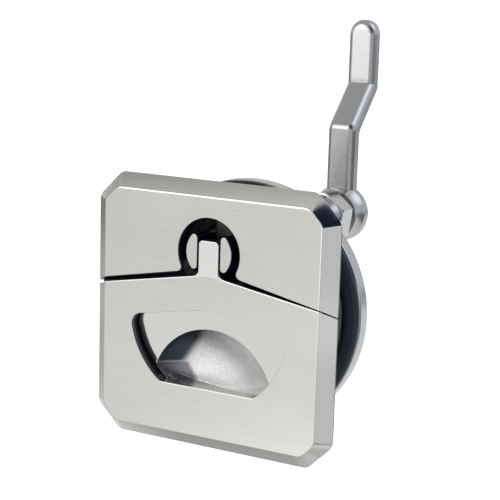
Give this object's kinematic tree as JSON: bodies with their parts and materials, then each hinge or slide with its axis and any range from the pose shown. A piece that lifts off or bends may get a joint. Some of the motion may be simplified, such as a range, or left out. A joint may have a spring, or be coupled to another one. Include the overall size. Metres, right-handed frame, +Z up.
{
  "type": "flush lift-and-turn compression latch",
  "caption": "Flush square latch with a lift-up plate handle, finger scoop, compression cam, threaded barrel with clamp ring, and a cranked arm on a long adjustable spindle.",
  "frame": {"origin": "centre of the round barrel on the panel seat, which is the back face of the plate", "axes": "+X to the right seen from the front, +Y into the panel along the barrel and spindle, +Z up towards the spindle and the arm tip"},
  "size_m": [0.064, 0.0848, 0.0994],
  "materials": {
    "polished_steel": "polished to a fine satin",
    "turned_steel": "turned, semi-bright",
    "blasted_steel": "bead blasted scoop under a polished floor",
    "cast_steel": "investment cast, tumbled satin",
    "spring_steel": "drawn wire and stamped strip",
    "dark_steel": "dark hardened steel",
    "gasket_rubber": "soft matt",
    "seal_rubber": "soft matt",
    "black_nylon": "machined nylon"
  },
  "bodies": {
    "housing": {"face_plate": "polished_steel", "barrel": "turned_steel", "finger_cup": "blasted_steel", "clamp_ring": "turned_steel", "panel_gasket": "gasket_rubber", "thrust_bar": "dark_steel", "wear_ring": "black_nylon", "front_bush": "black_nylon", "head_seal": "seal_rubber", "spindle_housing": "turned_steel", "rear_bush": "black_nylon", "spindle_seal": "seal_rubber", "housing_circlip": "spring_steel", "return_spring": "spring_steel"},
    "head": {"clevis_head": "polished_steel", "pivot_pin": "turned_steel", "head_snap_ring": "spring_steel"},
    "handle": {"handle": "polished_steel"},
    "spindle": {"spindle": "turned_steel", "spring_washer": "turned_steel", "spring_e_clip": "spring_steel", "arm": "cast_steel", "front_nut": "turned_steel", "lock_washer": "dark_steel"}
  },
  "joints": [
    {"name": "head_slide", "type": "slide", "parent": "housing", "child": "head", "axis": [0, 1, 0], "range_m": [0, 0.0025], "deforming": ["return_spring"]},
    {"name": "handle_flip", "type": "hinge", "parent": "head", "child": "handle", "pos_m": [0, -0.002, 0.0156], "axis": [-1, 0, 0], "range_deg": [0, 90]},
    {"name": "spindle_turn", "type": "hinge", "parent": "head", "child": "spindle", "pos_m": [0, 0.06, 0.0156], "axis": [0, 1, 0], "range_deg": [0, 90]}
  ],
  "couplings": [
    {"joint": "head_slide", "follows": "handle_flip", "m_per_rad": 0.0015915}
  ]
}
